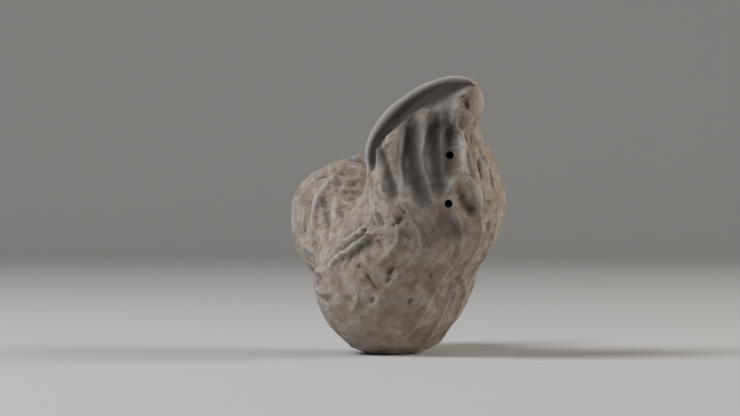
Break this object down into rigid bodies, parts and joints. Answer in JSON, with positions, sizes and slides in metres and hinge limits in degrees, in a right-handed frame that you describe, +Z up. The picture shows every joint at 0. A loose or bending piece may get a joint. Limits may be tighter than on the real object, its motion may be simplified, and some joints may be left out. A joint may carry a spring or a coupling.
{
  "type": "peanut pod",
  "caption": "Dried peanut pod in its shell, grown in a curl, with a hooked beak and a ribbed, pitted skin, standing on its middle lobe.",
  "frame": {"origin": "middle of the small flat spot under the middle lobe, where the pod rests", "axes": "+Z up; the front lobe and its beak lean towards +X and -Y, and the back lobe with the stem scar is towards -X and +Y"},
  "size_m": [0.0234, 0.0287, 0.03],
  "materials": {
    "dried_shell": "matte, papery and fibrous, greyish beige"
  },
  "bodies": {
    "root": {"peanut_pod": "dried_shell"}
  },
  "joints": []
}
